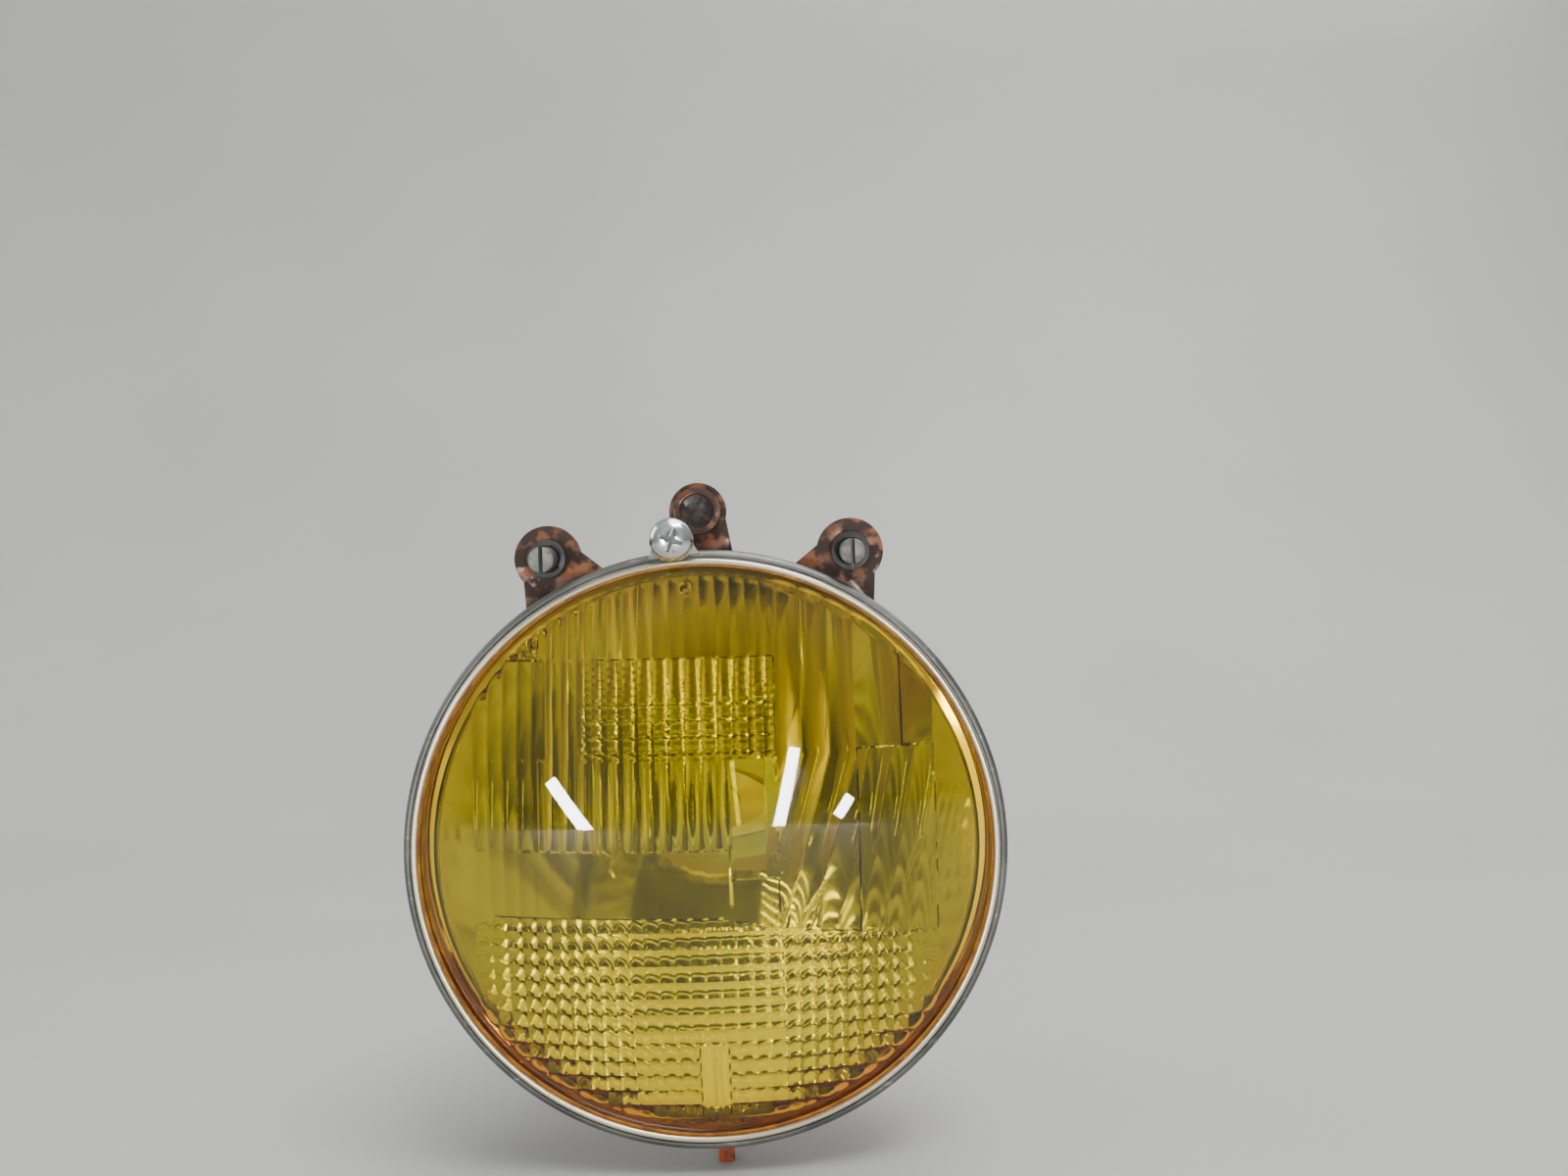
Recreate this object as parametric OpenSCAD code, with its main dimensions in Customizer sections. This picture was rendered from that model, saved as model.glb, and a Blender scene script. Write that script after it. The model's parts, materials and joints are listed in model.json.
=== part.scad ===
// Round headlamp unit: fluted yellow lens, steel rim, lacquered reflector bowl,
// two nylon aiming screws, a captive retaining screw and a three-blade bulb.
// The lens faces -Y, the bulb's blades point to +Y and +Z is up. The origin is
// on the lamp's axis, in the plane where the rim and the bowl's flange end.

/* [Lens and rim] */
// Outer radius of the rim
rim_r = 90; // [89:0.5:92]
// Thickness of the rim's outer wall
rim_wall = 1.3; // [1.0:0.1:1.6]
// Depth of the rim from its rear edge to the front of the lens flange
rim_depth = 8.4; // [8:0.1:9]
// Radius of the visible part of the lens
lens_r = 85.2; // [84:0.2:85.4]
// Height of the lens dome from its edge to its crown
lens_sag = 17.8; // [14:0.2:20]
// Thickness of the lens glass
lens_wall = 3.5; // [2.5:0.1:4.5]

/* [Reflector] */
// Inside radius of the reflector's mouth
mouth_r = 82; // [80:0.5:82.5]
// Focal length of the reflector's paraboloid
focal = 20; // [20:0.1:21]
// Wall of the bowl, measured across the axis
bowl_wall = 1.2; // [0.8:0.1:1.4]
// Straight depth of the mouth before the paraboloid starts
mouth_depth = 4; // [3:0.5:4]
// Depth at which the bowl ends, behind the rim's rear edge
bowl_end = 80; // [76:1:80]

/* [Ears and screws] */
// Sideways distance of each aiming screw from the lamp's centre
adj_x = 45.6; // [45:0.1:48]
// Height of the aiming screws above the lamp's centre
adj_z = 88.4; // [88:0.1:90]
// Radius of the aiming screws
adj_r = 3.8; // [3.2:0.1:4]
// Height of the upper pivot boss above the lamp's centre
pivot_z = 101.5; // [101:0.5:104]
// Radius of the pivot boss's bore
pivot_bore = 3.1; // [2.5:0.1:3.5]
// Sideways place of the retaining screw
screw_x = -7.3; // [-8:0.1:-7]
// Height of the retaining screw above the lamp's centre
screw_z = 93.2; // [93:0.1:93.6]
// Radius of the retaining screw's shank
shank_r = 2.5; // [2:0.1:2.6]

/* [Bulb holder] */
// Outer radius of the zinc collar
collar_r = 43; // [42.5:0.5:45]
// Outer radius of the boot seat that stands on the collar
boot_r = 28.2; // [28:0.1:29]
// Radius of the bulb's mounting flange
flange_r = 21.5; // [20:0.5:22]
// Radius of the bulb's glass tube
glass_r = 8.5; // [8:0.1:9]
// Width of each terminal blade
blade_w = 8; // [6:0.1:8]
// Thickness of each terminal blade
blade_t = 0.8; // [0.6:0.1:1]
// Radius of the clip's spring wire
wire_r = 0.9; // [0.7:0.05:0.9]

/* [Hidden] */
$fn = 96;

run_gap = 0.05;            // radial clearance of a shaft that turns in a bore
rest_gap = 0.2;            // gap between pieces that move against each other
flange_t = 1;              // thickness of the bowl's flange
fit_r = rim_r - rim_wall;  // inside radius of the rim's wall
stack_r = fit_r - 0.1;     // outside radius of the seal and of the flange
lens_edge_r = 87;          // outside radius of the lens's edge
lens_front = -7.2;         // front face of the lens's edge
lens_back = -3;            // rear face of the lens's edge
dome_edge_y = -8.2;        // depth at which the dome leaves the edge
dome_r = (lens_r * lens_r + lens_sag * lens_sag) / (2 * lens_sag);
dome_y = dome_edge_y - lens_sag + dome_r;
ear_t = 1.5;
ear_r = 10;
bush_bore = adj_r + run_gap;
seat_y = bowl_end;         // front face of the bulb's seat ring
face_y = seat_y + 1.2;     // front face of the collar's flat and of the bulb's flange
back_y = face_y + 1;       // rear face of the collar's flat
wire_y = face_y + 2.6;     // plane in which the closed clip lies
wire_top = 22;             // height of the clip's hinge
wire_foot = -17;           // height of the clip's free ends
leg_x = 12.6;              // sideways place of the clip's legs
base_end = 94;             // rear end of the bulb's metal base
blade_foot = 95.5;         // depth at which the blades start, inside the insulator
blade_end = 118;           // tips of the blades
blade_off = 8.6;           // distance of each blade from the bulb's axis

function bowl_in(y) = sqrt(mouth_r * mouth_r - 4 * focal * (y - mouth_depth));
function dome(r, wall) = dome_y - sqrt(pow(dome_r - wall, 2) - r * r);
function arc(cr, cy, r, a0, a1, n) =
  [for (i = [0:n]) let (a = a0 + (a1 - a0) * i / n) [cr + r * cos(a), cy + r * sin(a)]];

// A body of revolution about the lamp's axis, from [radius, depth] points
module turned(points) rotate([-90, 0, 0]) rotate_extrude() polygon(points);

// A round bar along Y between two depths
module rod(r, y0, y1, x = 0, z = 0)
  translate([x, y0, z]) rotate([-90, 0, 0]) cylinder(r = r, h = y1 - y0);

// A cone along Y between two depths
module taper(r0, r1, y0, y1, x = 0, z = 0)
  translate([x, y0, z]) rotate([-90, 0, 0]) cylinder(r1 = r0, r2 = r1, h = y1 - y0);

// A flat plate drawn in X and Z, from depth y0 and t thick
module plate(y0, t) translate([0, y0 + t, 0]) rotate([90, 0, 0]) linear_extrude(t) children();

// A box given by its lowest and its highest corner
module box(low, high) translate(low) cube(high - low);

// ---- lens, seal and rim ----

module lens() color("khaki") turned(concat(
  [for (i = [0:14]) [lens_r * i / 14, dome(lens_r * i / 14, 0)]],
  [[lens_r, lens_front], [lens_edge_r, lens_front], [lens_edge_r, lens_back], [81, lens_back]],
  [for (i = [14:-1:0]) [81 * i / 14, dome(81 * i / 14, lens_wall)]]));

module lens_seal() color("sienna") turned([
  [lens_r, -rim_depth], [stack_r, -rim_depth], [stack_r, -flange_t], [80.5, -flange_t],
  [80.5, lens_back], [lens_edge_r, lens_back], [lens_edge_r, lens_front], [lens_r, lens_front]]);

// The lug that takes the retaining screw reaches out from the rim's front
module rim() color("gainsboro") difference() {
  union() {
    turned(concat(
      [[85.9, -rim_depth]], arc(86.6, -rim_depth - 1.1, 0.9, 180, 330, 8),
      [[87.7, -rim_depth - 1.1]], arc(rim_r - 1.9, -rim_depth + 0.5, 1.9, 270, 360, 8),
      [[rim_r, 0], [fit_r, 0], [fit_r, -rim_depth]]));
    rod(5.8, -rim_depth - 3, -rim_depth - 0.8, screw_x, screw_z);
    plate(-rim_depth - 2.2, 1.6) polygon([[-14.5, 87.6], [-13, 92], [-1.6, 92.6], [0.6, 89]]);
  }
  rod(shank_r + rest_gap, -rim_depth - 4, 1, screw_x, screw_z);
}

clip_angles = [13.3, 108, 198, 290];  // places of the rim's retaining clips, from the top
module rim_clips() color("silver") for (a = clip_angles) rotate([0, a, 0]) {
  box([-4, 0, 84.5], [4, 0.8, 89.6]);
  box([-4, 0.8, 84.5], [4, 2.6, 85.2]);
}

module lower_hook() color("firebrick") {
  box([0.6, 0, -98], [5.4, 1.2, -84.5]);
  box([0.6, 1.2, -98], [5.4, 5, -96.8]);
}

// ---- reflector bowl and its ears ----

module reflector_bowl() color("darkgoldenrod") turned(concat(
  [[mouth_r, -flange_t], [stack_r, -flange_t], [stack_r, 0], [mouth_r + bowl_wall, 0]],
  [for (i = [0:20]) let (y = mouth_depth + (bowl_end - mouth_depth) * i / 20)
    [bowl_in(y) + bowl_wall, y]],
  [for (i = [20:-1:0]) let (y = mouth_depth + (bowl_end - mouth_depth) * i / 20)
    [bowl_in(y), y]]));

// A stamped ear with a turned-up edge round the hole for the bush
module ear(side) {
  lean = -side * atan(adj_x / adj_z);
  difference() {
    union() {
      plate(0, ear_t) {
        rotate(lean) polygon([[-15, 85], [15, 85], [9.6, 97], [-9.6, 97]]);
        translate([side * adj_x, adj_z]) circle(ear_r);
      }
      rod(ear_r, 0, ear_t + 2.5, side * adj_x, adj_z);
    }
    rod(ear_r - 1.2, ear_t, ear_t + 4, side * adj_x, adj_z);
    rod(5, -1, ear_t + 1, side * adj_x, adj_z);
  }
}
module ear_left() color("peru") ear(-1);
module ear_right() color("peru") ear(1);

module pivot_ear() color("peru") difference() {
  plate(0, ear_t) {
    polygon([[-15, 84.5], [11, 84.5], [8, 101], [-8, 101], [-13.3, 92.5]]);
    translate([0, pivot_z]) circle(8.6);
    translate([screw_x, screw_z]) circle(6);
  }
  rod(7, -1, ear_t + 1, 0, pivot_z);
  rod(shank_r + rest_gap, -1, ear_t + 1, screw_x, screw_z);
}

// The boss is closed in front: the vehicle's pivot stud comes in from behind
module pivot_boss() color("saddlebrown") difference() {
  rod(7, -7, 3, 0, pivot_z);
  rod(pivot_bore, -4, 4, 0, pivot_z);
  rod(5, -8, -5, 0, pivot_z);
}

// ---- aiming screws ----

module bush(side) translate([side * adj_x, 0, adj_z]) difference() {
  union() {
    plate(-3, 3) circle(5.8);
    rod(5, 0, ear_t);
    rod(7.5, ear_t, 11);
    taper(7.5, 5.6, 11, 13.5);
  }
  rod(bush_bore, -4, 15);
}
module bush_left() color("dimgray") bush(-1);
module bush_right() color("dimgray") bush(1);

// Slotted front end, waist, long stem and a blind bore for the foot's spigot
module aim_screw(side) translate([side * adj_x, 0, adj_z]) difference() {
  union() {
    taper(adj_r - 0.6, adj_r, -13, -12.4);
    rod(adj_r, -12.4, -8);
    rod(adj_r - 0.8, -8, -6);
    rod(adj_r, -6, 50);
  }
  box([-0.6, -14, -adj_r], [0.6, -11.2, adj_r]);
  rod(1.5 + run_gap, 43, 51);
}
module aim_screw_left() color("dimgray") aim_screw(-1);
module aim_screw_right() color("dimgray") aim_screw(1);

module aim_foot(side) translate([side * adj_x, 0, adj_z]) {
  rod(1.5, 43.5, 51);
  rod(3, 50 + rest_gap, 56);
  taper(3, 1.8, 56, 57.5);
}
module aim_foot_left() color("gray") aim_foot(-1);
module aim_foot_right() color("gray") aim_foot(1);

// ---- retaining screw ----

head_y = -rim_depth - 3 - rest_gap;  // underside of the screw's head
neck_r = shank_r - 0.4;              // plain neck that carries the captive washer
module rim_screw() color("white") translate([screw_x, 0, screw_z]) difference() {
  union() {
    rotate([-90, 0, 0]) rotate_extrude() polygon(concat(
      [[0, head_y], [6.5, head_y], [6.5, head_y - 1.4]],
      [for (i = [1:9]) [6.5 * cos(10 * i), head_y - 1.4 - 4 * sin(10 * i)]]));
    rod(neck_r, head_y, 20);
    rod(shank_r, 20, 51);
    taper(shank_r, shank_r - 0.9, 51, 52);
  }
  for (a = [0, 90]) rotate([0, a + 20, 0]) box([-0.8, head_y - 6, -3.6], [0.8, head_y - 3, 3.6]);
}

module screw_washer() color("darkgray") translate([screw_x, 0, screw_z]) difference() {
  union() {
    rod(7.5, 14, 16);
    taper(5.2, 4, 16, 19);
  }
  rod(neck_r + run_gap, 13, 20);
}

// ---- bulb holder ----

module bulb_seat() color("lightsteelblue") difference() {
  rod(30, seat_y, face_y);
  rod(18.5, seat_y - 1, face_y + 1);
}

module bulb_collar() color("darkseagreen") turned(concat(
  [[collar_r - 1, 67.6], [collar_r, 67.6]],
  arc(collar_r - 11.6, back_y - 11.6, 11.6, 0, 90, 10),
  [[24, back_y], [24, face_y]],
  arc(collar_r - 11.6, back_y - 11.6, 10.6, 90, 0, 10)));

// Ring for a rubber boot, with two tabs that reach back on either side of an arch
module boot_seat() color("darkseagreen") {
  difference() {
    rod(boot_r, back_y, back_y + 5);
    rod(boot_r - 1.6, back_y - 1, back_y + 6);
  }
  intersection() {
    difference() {
      rod(boot_r - 0.4, back_y + 4, 100);
      rod(boot_r - 1.6, back_y + 3, 101);
      translate([0, 103, 0]) cylinder(r = 17, h = 40);
    }
    box([-boot_r, back_y + 4, 10.5], [boot_r, 100, boot_r]);
  }
}

module clip_hinge() color("silver") for (side = [-1, 1]) difference() {
  box([side * 9 - 1.5, back_y, wire_top - 1.7], [side * 9 + 1.5, wire_y + 1.7, wire_top + 1.7]);
  translate([side * 9 - 3, wire_y, wire_top]) rotate([0, 90, 0])
    cylinder(r = wire_r + run_gap, h = 6);
}

module clip_latches() color("silver") for (side = [-1, 1]) {
  box([side * 15.9 - 1.6, back_y, -19.8], [side * 15.9 + 1.6, wire_y + 2.6, -18.9]);
  box([side * 15.9 - 1.6, wire_y + 1.4, -18.9], [side * 15.9 + 1.6, wire_y + 2.6, -18.2]);
}

module wire_x(x0, x1, z) translate([x0, wire_y, z]) rotate([0, 90, 0])
  cylinder(r = wire_r, h = x1 - x0);

module bulb_clip() color("whitesmoke") {
  wire_x(-leg_x, leg_x, wire_top);
  for (side = [-1, 1]) {
    translate([side * leg_x, wire_y, wire_foot]) cylinder(r = wire_r, h = wire_top - wire_foot);
    for (z = [wire_foot, wire_top]) translate([side * leg_x, wire_y, z]) sphere(wire_r);
    wire_x(side < 0 ? -19 : leg_x, side < 0 ? -leg_x : 19, wire_foot);
  }
}

// ---- bulb ----

module bulb_flange() color("silver") difference() {
  union() {
    rod(flange_r, face_y, face_y + 1.2);
    for (a = [60, 180, 300]) rotate([0, a, 0]) box([-3, face_y, 20], [3, face_y + 1.2, 23.4]);
  }
  rod(10.1, face_y - 1, face_y + 3);
}

module bulb_base() color("goldenrod") {
  difference() {
    rod(14, 72, face_y);
    rod(10, 76, face_y + 1);
    rod(glass_r, 70, 77);
  }
  difference() {
    rod(10.4, 66, 72);
    rod(glass_r, 65, 73);
  }
  difference() {
    rod(10, 76, face_y + 1.2);
    rod(9, 75, 83);
  }
  difference() {
    rod(11, face_y + 1.2, base_end);
    rod(9, 81, 95);
  }
}

module bulb_glass() color("white", 0.4) turned(concat(
  [[glass_r, 75.8], [glass_r, 51]],
  [for (i = [1:9]) [glass_r * cos(10 * i), 51 - 5 * sin(10 * i)]],
  [for (i = [9:-1:0]) [(glass_r - 0.9) * cos(10 * i), 51 - 4.1 * sin(10 * i)]],
  [[glass_r - 0.9, 74.8], [0, 74.8], [0, 75.8]]));

module filaments() color("gray") {
  for (y = [57, 66]) translate([-2.6, y, 0]) rotate([0, 90, 0]) cylinder(r = 0.7, h = 5.2);
  for (x = [-2.6, 2.6]) rod(0.35, 57, 74.8, x, 0);
}

module filament_shield() color("gray") difference() {
  rod(4.6, 54, 61);
  rod(4.1, 54.5, 62);
  box([-6, 53, -1.2], [6, 62, 6]);
}

module bulb_insulator() color("saddlebrown") difference() {
  rod(10.6, base_end, 98.5);
  blade_left();
  blade_right();
  blade_top();
}

module blade_side(side) difference() {
  box([side * blade_off - blade_t / 2, blade_foot, -blade_w / 2],
      [side * blade_off + blade_t / 2, blade_end, blade_w / 2]);
  translate([side * blade_off - 1, blade_end - 4, 0]) rotate([0, 90, 0])
    cylinder(r = 1, h = 2);
}
module blade_left() color("gold") blade_side(-1);
module blade_right() color("gold") blade_side(1);
module blade_top() color("gold") rotate([0, -90, 0]) blade_side(1);

lens();
lens_seal();
rim();
rim_clips();
lower_hook();
reflector_bowl();
ear_left();
ear_right();
pivot_ear();
pivot_boss();
bush_left();
bush_right();
aim_screw_left();
aim_screw_right();
aim_foot_left();
aim_foot_right();
rim_screw();
screw_washer();
bulb_seat();
bulb_collar();
boot_seat();
clip_hinge();
clip_latches();
bulb_clip();
bulb_flange();
bulb_base();
bulb_glass();
filaments();
filament_shield();
bulb_insulator();
blade_left();
blade_right();
blade_top();
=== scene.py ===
# %% [markdown]
# # A round headlamp unit, finished in Blender
# The lamp's working shape comes packed from CAD. This lesson adds what CAD leaves plain: the
# moulded pattern of the lens, the mirror inside the bowl, amber lacquer, zinc, nylon threads and
# bent spring wire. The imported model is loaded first, and nothing in it is ever moved.

# %% Load the frame
import json
import math
import bmesh
import bpy
from mathutils import Euler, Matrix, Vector

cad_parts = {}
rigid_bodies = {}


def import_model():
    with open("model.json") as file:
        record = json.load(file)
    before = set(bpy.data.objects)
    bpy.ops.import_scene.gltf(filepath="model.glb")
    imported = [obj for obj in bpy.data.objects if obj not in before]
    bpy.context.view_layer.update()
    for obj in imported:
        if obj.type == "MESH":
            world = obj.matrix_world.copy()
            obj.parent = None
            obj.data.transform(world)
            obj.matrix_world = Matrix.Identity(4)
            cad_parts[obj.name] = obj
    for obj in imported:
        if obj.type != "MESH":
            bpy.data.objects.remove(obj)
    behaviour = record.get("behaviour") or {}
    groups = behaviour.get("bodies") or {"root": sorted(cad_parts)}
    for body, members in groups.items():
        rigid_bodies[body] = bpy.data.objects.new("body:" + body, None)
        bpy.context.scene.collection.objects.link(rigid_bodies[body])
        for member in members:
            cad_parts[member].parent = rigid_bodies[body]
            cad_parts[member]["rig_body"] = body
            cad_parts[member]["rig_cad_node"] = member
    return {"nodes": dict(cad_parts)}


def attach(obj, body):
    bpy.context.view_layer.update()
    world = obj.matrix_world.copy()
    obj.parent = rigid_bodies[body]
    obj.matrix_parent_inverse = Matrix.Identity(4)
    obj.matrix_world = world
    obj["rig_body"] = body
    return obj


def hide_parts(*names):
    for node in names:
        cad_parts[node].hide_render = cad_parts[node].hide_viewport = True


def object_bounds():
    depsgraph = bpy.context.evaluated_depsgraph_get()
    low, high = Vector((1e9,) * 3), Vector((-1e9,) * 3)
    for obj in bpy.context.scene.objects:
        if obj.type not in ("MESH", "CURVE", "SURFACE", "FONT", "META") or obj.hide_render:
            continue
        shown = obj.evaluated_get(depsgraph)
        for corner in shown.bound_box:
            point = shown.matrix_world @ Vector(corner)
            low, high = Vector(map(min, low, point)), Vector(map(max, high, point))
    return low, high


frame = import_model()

CAD_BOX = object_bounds()
NODES = frame["nodes"]
MM = 0.001
print("CAD nodes:", len(NODES), "box in mm:",
      [round(x / MM) for x in CAD_BOX[0]], [round(x / MM) for x in CAD_BOX[1]])

# %% [markdown]
# ## Camera
# The lamp is seen almost face on, from a little above and a little to its right, at arm's
# length, with a wide lens. The camera is aimed above the lamp, so that the lamp sits low in the
# frame, and it is rolled slightly because the lamp leans. A camera built from an angle and a
# distance round the object is easier to correct than one typed in as a matrix.

# %% Camera
VIEW_AZIMUTH = 2.8      # degrees round to the lamp's right
VIEW_ELEVATION = 12.9   # degrees above the lamp's axis
VIEW_DISTANCE = 0.421   # metres from the origin
AIM = Euler((math.radians(10.6), math.radians(-3.6), 0))  # tilt up, pan right
ROLL = math.radians(2.4)
FIELD = math.radians(60)
SENSOR_WIDTH = 36       # mm

az, el = math.radians(VIEW_AZIMUTH), math.radians(VIEW_ELEVATION)
back = Vector((math.sin(az) * math.cos(el), -math.cos(az) * math.cos(el), math.sin(el)))
rolled = Euler((0, 0, -ROLL)).to_quaternion()
turn = (-back).to_track_quat("-Z", "Y") @ AIM.to_quaternion() @ rolled
bpy.ops.object.camera_add(location=back * VIEW_DISTANCE, rotation=turn.to_euler())
camera = bpy.context.active_object
camera.name = "arms_length_camera"
camera.data.sensor_width = SENSOR_WIDTH
camera.data.lens = SENSOR_WIDTH / 2 / math.tan(FIELD / 2)
camera.data.clip_start = 0.01
bpy.context.scene.camera = camera
print("camera at", [round(x, 3) for x in camera.location], "lens", round(camera.data.lens, 1), "mm")

# %% [markdown]
# ## Floor
# A seamless pale sweep stands in for the table: a plane whose far edge is extruded up, with the
# corner beveled round, so that no horizon line cuts across behind the lamp.

# %% Floor and backdrop
def only(obj):
    """Selects this object alone and makes it active."""
    bpy.ops.object.select_all(action="DESELECT")
    obj.select_set(True)
    bpy.context.view_layer.objects.active = obj


def pick(mode, test):
    """In edit mode, selects the vertices, edges or faces that pass a test of their place."""
    mesh = bmesh.from_edit_mesh(bpy.context.active_object.data)
    bpy.ops.mesh.select_all(action="DESELECT")
    bpy.context.tool_settings.mesh_select_mode = (mode == "VERT", mode == "EDGE", mode == "FACE")
    for item in {"VERT": mesh.verts, "EDGE": mesh.edges, "FACE": mesh.faces}[mode]:
        if test(item):
            item.select_set(True)
    mesh.select_flush_mode()
    bmesh.update_edit_mesh(bpy.context.active_object.data)


FLOOR_Z = CAD_BOX[0].z - 0.0002   # a hair under the hook, the lowest point
FLOOR_SIZE, WALL_HEIGHT, CORNER = 4, 2.4, 0.7
FAR_EDGE = 1.9                    # the floor's far edge lies beyond this depth
bpy.ops.object.select_all(action="DESELECT")
bpy.ops.mesh.primitive_plane_add(size=FLOOR_SIZE, location=(0, -0.9, FLOOR_Z))
floor = bpy.context.active_object
floor.name = "floor"
bpy.ops.object.mode_set(mode="EDIT")
pick("EDGE", lambda e: all(v.co.y > FAR_EDGE for v in e.verts))
bpy.ops.mesh.extrude_region_move(TRANSFORM_OT_translate={"value": (0, 0, WALL_HEIGHT)})
pick("EDGE", lambda e: all(v.co.y > FAR_EDGE and v.co.z < 0.1 for v in e.verts))
bpy.ops.mesh.bevel(offset=CORNER, segments=16)
bpy.ops.object.mode_set(mode="OBJECT")
bpy.ops.object.shade_smooth()
print("floor at", round(FLOOR_Z / MM, 1), "mm")

# %% [markdown]
# ## Lights
# A studio light is a soft panel. Two large ones hang above and in front, and weaker ones fill
# the side and the back, so that no side is black. Three small bright ones stand low in front: the
# glass dome mirrors them as crisp strips, and every flute of the lens turns one into a sparkle.

# %% Lights
def panel(name, place, size, power, colour=(1, 1, 1), lean=0):
    """A light of a size (width, height) in metres and a power in watts, pointed at the lamp.

    lean turns it in its own plane, in degrees.
    """
    facing = (-Vector(place)).to_track_quat("-Z", "Y").to_euler()
    bpy.ops.object.light_add(type="AREA", location=place, rotation=facing)
    light = bpy.context.active_object
    light.name = name
    light.rotation_euler.rotate_axis("Z", math.radians(lean))
    light.data.shape = "RECTANGLE"
    light.data.size, light.data.size_y = size
    light.data.energy = power
    light.data.color = colour


panel("overhead_panel", (0.3, 0.0, 1.5), (1.4, 1.0), 20)
panel("front_top_panel", (0.5, -0.75, 1.6), (1.0, 0.5), 20)
panel("side_panel", (-1.4, 0.3, 0.7), (0.9, 0.9), 8, colour=(0.95, 0.98, 1))
panel("rear_panel", (0.6, 1.0, 1.0), (1.0, 0.6), 9)
panel("front_tube", (0.25, -0.98, 0.005), (0.042, 0.36), 6, lean=-14)
panel("front_window", (-0.5, -0.88, -0.04), (0.045, 0.28), 5.5, lean=38)
panel("front_spot", (0.42, -0.84, -0.04), (0.035, 0.08), 1.2, lean=-35)
world = bpy.data.worlds.new("studio")
bpy.context.scene.world = world
world.use_nodes = True
SKY_COLOUR = (0.82, 0.84, 0.86, 1)
world.node_tree.nodes["Background"].inputs["Color"].default_value = SKY_COLOUR

# %% [markdown]
# ## A small language for shader maths
# A material is a graph, but its arithmetic reads better as Python. The class below wraps a
# socket, so that `0.3 + 0.5 * wear` adds the Math nodes by itself.

# %% Shader maths
class Wire:
    """A value in a material's graph; arithmetic on it adds Math nodes."""

    def __init__(self, tree, socket):
        self.tree, self.socket = tree, socket

    def math(self, operation, *others):
        node = self.tree.nodes.new("ShaderNodeMath")
        node.operation = operation
        for slot, value in zip(node.inputs, others):
            if isinstance(value, Wire):
                self.tree.links.new(value.socket, slot)
            else:
                slot.default_value = value
        return Wire(self.tree, node.outputs[0])

    def __add__(self, other): return self.math("ADD", self, other)
    def __radd__(self, other): return self.math("ADD", other, self)
    def __sub__(self, other): return self.math("SUBTRACT", self, other)
    def __rsub__(self, other): return self.math("SUBTRACT", other, self)
    def __mul__(self, other): return self.math("MULTIPLY", self, other)
    def __rmul__(self, other): return self.math("MULTIPLY", other, self)
    def __truediv__(self, other): return self.math("DIVIDE", self, other)
    def __pow__(self, other): return self.math("POWER", self, other)

    def clamp(self): return self.math("MINIMUM", self.math("MAXIMUM", self, 0.0), 1.0)

    def above(self, low, high):
        """0 below low, 1 above high, a straight ramp between."""
        return ((self - low) / (high - low)).clamp()


class Finish:
    """A material with one Principled shader, and the nodes that vary it."""

    def __init__(self, name, **uniform):
        self.material = bpy.data.materials.new(name)
        self.material.use_nodes = True
        self.tree = self.material.node_tree
        self.shader = self.tree.nodes["Principled BSDF"]
        for socket, value in uniform.items():
            self.set(socket.replace("_", " "), value)

    def set(self, socket, value):
        target = self.shader.inputs[socket]
        if isinstance(value, Wire):
            self.tree.links.new(value.socket, target)
        else:
            target.default_value = self.filled(target, value)

    @staticmethod
    def filled(slot, value):
        """A colour of three numbers gets its fourth; anything else stays as it is."""
        return (*value, 1) if slot.type == "RGBA" and len(value) == 3 else value

    def node(self, kind, settings=None, out=0, **inputs):
        """Any other node: its settings first, then its sockets, by name or as i and a number."""
        made = self.tree.nodes.new("ShaderNode" + kind)
        for key, value in (settings or {}).items():
            setattr(made, key, value)
        for key, value in inputs.items():
            by_number = key[0] == "i" and key[1:].isdigit()
            slot = made.inputs[int(key[1:]) if by_number else key.replace("_", " ")]
            if isinstance(value, Wire):
                self.tree.links.new(value.socket, slot)
            else:
                slot.default_value = self.filled(slot, value)
        return Wire(self.tree, made.outputs[out])

    def place(self, scale=(1, 1, 1), centre=(0, 0, 0)):
        """The point on the piece in metres, moved to a centre and scaled."""
        here = self.node("TexCoord", out=3)
        return self.node("Mapping", {"vector_type": "POINT"}, Vector=here,
                         Location=tuple(-c * s for c, s in zip(centre, scale)), Scale=scale)

    def noise(self, per_mm, detail=3.0, rough=0.55, scale=(1, 1, 1)):
        """Soft noise with so many lumps to the millimetre, stretched along an axis by scale."""
        return self.node("TexNoise", Vector=self.place(scale), Scale=per_mm / MM, Detail=detail,
                         Roughness=rough)

    def blend(self, factor, dark, light):
        """The dark colour where the factor is 0, the light one where it is 1."""
        return self.node("Mix", {"data_type": "RGBA"}, out=2, i0=factor, i6=dark, i7=light)

    def split(self, point):
        """The x, y and z of a point on the piece, mm."""
        axes = self.node("SeparateXYZ", Vector=point).socket.node.outputs
        return [Wire(self.tree, axis) / MM for axis in axes]

    def radius(self, centre=(0, 0, 0)):
        """Distance from an axis along Y through a centre in metres, mm."""
        wide, _, height = self.split(self.place(centre=centre))
        return (wide * wide + height * height) ** 0.5

    def over(self, mask, colour):
        """Lays a colour over the base colour where the mask is 1."""
        below = Wire(self.tree, self.shader.inputs["Base Color"].links[0].from_socket)
        self.set("Base Color", self.blend(mask, below, colour))

    def bump(self, height, strength, depth_mm):
        """Raises the surface by a height from 0 to 1 that stands for a depth in mm."""
        self.set("Normal", self.node("Bump", Height=height, Strength=strength,
                                     Distance=depth_mm * MM))


print("shader helpers ready")

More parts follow.
